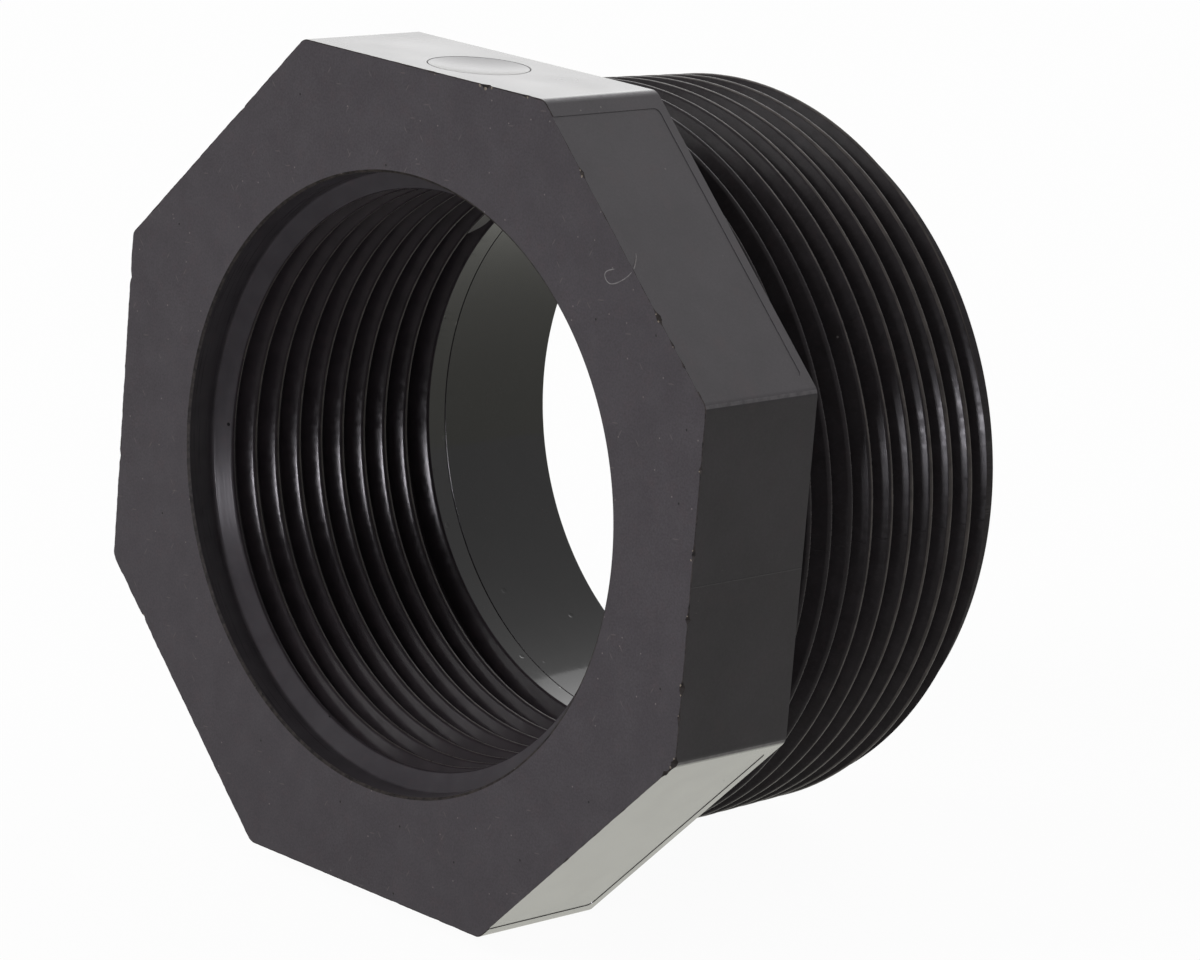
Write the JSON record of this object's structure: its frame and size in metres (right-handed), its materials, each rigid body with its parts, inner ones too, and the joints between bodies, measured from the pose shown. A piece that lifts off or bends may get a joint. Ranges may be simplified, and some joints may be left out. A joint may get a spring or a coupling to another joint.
{
  "type": "threaded pipe adapter",
  "caption": "Octagonal-headed reducing bush for rigid plastic pipe, with a female pipe thread in the head and a larger taper male pipe thread behind it.",
  "frame": {"origin": "on the bore's axis, halfway along the part, which is the centre of its bounding box", "axes": "+Y along the bore from the head toward the male end, +Z out of the top flat, which carries the gate dish, +X out of a side flat"},
  "size_m": [0.0644, 0.0378, 0.0644],
  "materials": {
    "dark_plastic": "moulded rigid plastic, satin on the head and glossier on the threads"
  },
  "bodies": {
    "root": {"adapter_body": "dark_plastic"}
  },
  "joints": []
}
